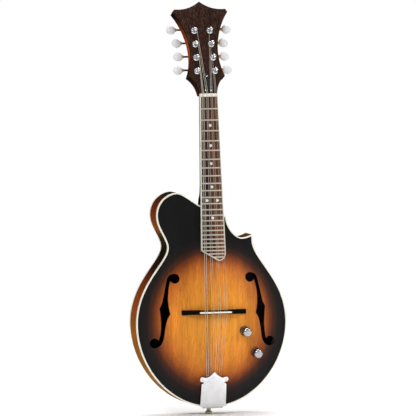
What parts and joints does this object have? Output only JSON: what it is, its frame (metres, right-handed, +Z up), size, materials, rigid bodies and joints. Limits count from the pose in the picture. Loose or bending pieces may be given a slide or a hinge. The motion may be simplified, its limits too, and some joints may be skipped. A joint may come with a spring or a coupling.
{
  "type": "mandolin",
  "caption": "Arched-top acoustic-electric mandolin with two sound holes, a horn and a point, floating bridge, tailpiece, geared tuners and two controls.",
  "frame": {"origin": "centre of the flat end face of the strap button at the tail", "axes": "+Z up along the instrument from tail to headstock, -Y towards the player's audience (front), +X towards the treble side"},
  "size_m": [0.2568, 0.115, 0.6746],
  "materials": {
    "soundboard": "satin sunburst lacquer",
    "back_plate": "satin sunburst lacquer",
    "rim": "satin lacquer",
    "binding": "satin",
    "inner_wood": "raw",
    "neck": "satin lacquer",
    "veneer": "satin",
    "ebonised": "satin",
    "fingerboard": "oiled",
    "steel_rod": "bare",
    "black_plastic": "gloss",
    "bone": "satin",
    "chrome": "polished",
    "nickel": "satin",
    "brass": "plain",
    "pearl": "pearloid gloss",
    "red_plastic": "plain",
    "wound_string": "wound",
    "plain_string": "drawn"
  },
  "bodies": {
    "body": {"soundboard": "soundboard", "back_plate": "back_plate", "rim": "rim", "top_binding": "binding", "back_binding": "binding", "fingerboard_binding": "binding", "lining_top": "inner_wood", "lining_back": "inner_wood", "tail_block": "inner_wood", "neck_block": "inner_wood", "tone_bar_bass": "inner_wood", "tone_bar_treble": "inner_wood", "neck": "neck", "headstock_veneer": "veneer", "bridge": "ebonised", "fingerboard_riser": "ebonised", "fingerboard": "fingerboard", "truss_rod": "steel_rod", "truss_rod_cover": "black_plastic", "pickup_lead": "black_plastic", "jack_lead": "black_plastic", "nut": "bone", "saddle": "bone", "output_jack": "chrome", "tuner_plate_bass": "chrome", "tuner_plate_treble": "chrome", "tailpiece_base": "nickel", "strap_button": "nickel", "volume_pot": "nickel", "tone_pot": "nickel", "pickup_disc": "brass", "pot_lead": "red_plastic", "string_g1": "wound_string", "string_g2": "wound_string", "string_d1": "wound_string", "string_d2": "wound_string", "string_a1": "plain_string", "string_a2": "plain_string", "string_e1": "plain_string", "string_e2": "plain_string"},
    "cover": {"tailpiece_cover": "chrome"},
    "volume_control": {"volume_knob": "chrome"},
    "tone_control": {"tone_knob": "chrome"},
    "tuner_button_bass_1": {"button_bass_1": "pearl"},
    "tuner_post_bass_1": {"post_bass_1": "chrome"},
    "tuner_button_bass_2": {"button_bass_2": "pearl"},
    "tuner_post_bass_2": {"post_bass_2": "chrome"},
    "tuner_button_bass_3": {"button_bass_3": "pearl"},
    "tuner_post_bass_3": {"post_bass_3": "chrome"},
    "tuner_button_bass_4": {"button_bass_4": "pearl"},
    "tuner_post_bass_4": {"post_bass_4": "chrome"},
    "tuner_button_treble_1": {"button_treble_1": "pearl"},
    "tuner_post_treble_1": {"post_treble_1": "chrome"},
    "tuner_button_treble_2": {"button_treble_2": "pearl"},
    "tuner_post_treble_2": {"post_treble_2": "chrome"},
    "tuner_button_treble_3": {"button_treble_3": "pearl"},
    "tuner_post_treble_3": {"post_treble_3": "chrome"},
    "tuner_button_treble_4": {"button_treble_4": "pearl"},
    "tuner_post_treble_4": {"post_treble_4": "chrome"}
  },
  "joints": [
    {"name": "cover_slide", "type": "slide", "parent": "body", "child": "cover", "axis": [0, -0.1942, 0.981], "range_m": [0, 0.026]},
    {"name": "volume_turn", "type": "hinge", "parent": "body", "child": "volume_control", "pos_m": [0.05313, -0.04321, 0.13579], "axis": [0.1414, -0.9782, -0.1518], "range_deg": [-140, 140]},
    {"name": "tone_turn", "type": "hinge", "parent": "body", "child": "tone_control", "pos_m": [0.07313, -0.03712, 0.09979], "axis": [0.1414, -0.9782, -0.1518], "range_deg": [-140, 140]},
    {"name": "button_bass_1_turn", "type": "hinge", "parent": "body", "child": "tuner_button_bass_1", "pos_m": [-0.0148, 0.02746, 0.56256], "axis": [1, 0, 0], "continuous": true},
    {"name": "post_bass_1_turn", "type": "hinge", "parent": "body", "child": "tuner_post_bass_1", "pos_m": [-0.0148, 0.01202, 0.55925], "axis": [0, -0.9342, 0.3567], "continuous": true},
    {"name": "button_bass_2_turn", "type": "hinge", "parent": "body", "child": "tuner_button_bass_2", "pos_m": [-0.0142, 0.03578, 0.58433], "axis": [1, 0, 0], "continuous": true},
    {"name": "post_bass_2_turn", "type": "hinge", "parent": "body", "child": "tuner_post_bass_2", "pos_m": [-0.0142, 0.02033, 0.58102], "axis": [0, -0.9342, 0.3567], "continuous": true},
    {"name": "button_bass_3_turn", "type": "hinge", "parent": "body", "child": "tuner_button_bass_3", "pos_m": [-0.0136, 0.04409, 0.60609], "axis": [1, 0, 0], "continuous": true},
    {"name": "post_bass_3_turn", "type": "hinge", "parent": "body", "child": "tuner_post_bass_3", "pos_m": [-0.0136, 0.02864, 0.60279], "axis": [0, -0.9342, 0.3567], "continuous": true},
    {"name": "button_bass_4_turn", "type": "hinge", "parent": "body", "child": "tuner_button_bass_4", "pos_m": [-0.0132, 0.0524, 0.62786], "axis": [1, 0, 0], "continuous": true},
    {"name": "post_bass_4_turn", "type": "hinge", "parent": "body", "child": "tuner_post_bass_4", "pos_m": [-0.0132, 0.03696, 0.62455], "axis": [0, -0.9342, 0.3567], "continuous": true},
    {"name": "button_treble_1_turn", "type": "hinge", "parent": "body", "child": "tuner_button_treble_1", "pos_m": [0.0148, 0.02746, 0.56256], "axis": [1, 0, 0], "continuous": true},
    {"name": "post_treble_1_turn", "type": "hinge", "parent": "body", "child": "tuner_post_treble_1", "pos_m": [0.0148, 0.01202, 0.55925], "axis": [0, -0.9342, 0.3567], "continuous": true},
    {"name": "button_treble_2_turn", "type": "hinge", "parent": "body", "child": "tuner_button_treble_2", "pos_m": [0.0142, 0.03578, 0.58433], "axis": [1, 0, 0], "continuous": true},
    {"name": "post_treble_2_turn", "type": "hinge", "parent": "body", "child": "tuner_post_treble_2", "pos_m": [0.0142, 0.02033, 0.58102], "axis": [0, -0.9342, 0.3567], "continuous": true},
    {"name": "button_treble_3_turn", "type": "hinge", "parent": "body", "child": "tuner_button_treble_3", "pos_m": [0.0136, 0.04409, 0.60609], "axis": [1, 0, 0], "continuous": true},
    {"name": "post_treble_3_turn", "type": "hinge", "parent": "body", "child": "tuner_post_treble_3", "pos_m": [0.0136, 0.02864, 0.60279], "axis": [0, -0.9342, 0.3567], "continuous": true},
    {"name": "button_treble_4_turn", "type": "hinge", "parent": "body", "child": "tuner_button_treble_4", "pos_m": [0.0132, 0.0524, 0.62786], "axis": [1, 0, 0], "continuous": true},
    {"name": "post_treble_4_turn", "type": "hinge", "parent": "body", "child": "tuner_post_treble_4", "pos_m": [0.0132, 0.03696, 0.62455], "axis": [0, -0.9342, 0.3567], "continuous": true}
  ],
  "couplings": [
    {"joint": "post_bass_1_turn", "follows": "button_bass_1_turn", "ratio": 0.071429},
    {"joint": "post_bass_2_turn", "follows": "button_bass_2_turn", "ratio": 0.071429},
    {"joint": "post_bass_3_turn", "follows": "button_bass_3_turn", "ratio": 0.071429},
    {"joint": "post_bass_4_turn", "follows": "button_bass_4_turn", "ratio": 0.071429},
    {"joint": "post_treble_1_turn", "follows": "button_treble_1_turn", "ratio": 0.071429},
    {"joint": "post_treble_2_turn", "follows": "button_treble_2_turn", "ratio": 0.071429},
    {"joint": "post_treble_3_turn", "follows": "button_treble_3_turn", "ratio": 0.071429},
    {"joint": "post_treble_4_turn", "follows": "button_treble_4_turn", "ratio": 0.071429}
  ]
}
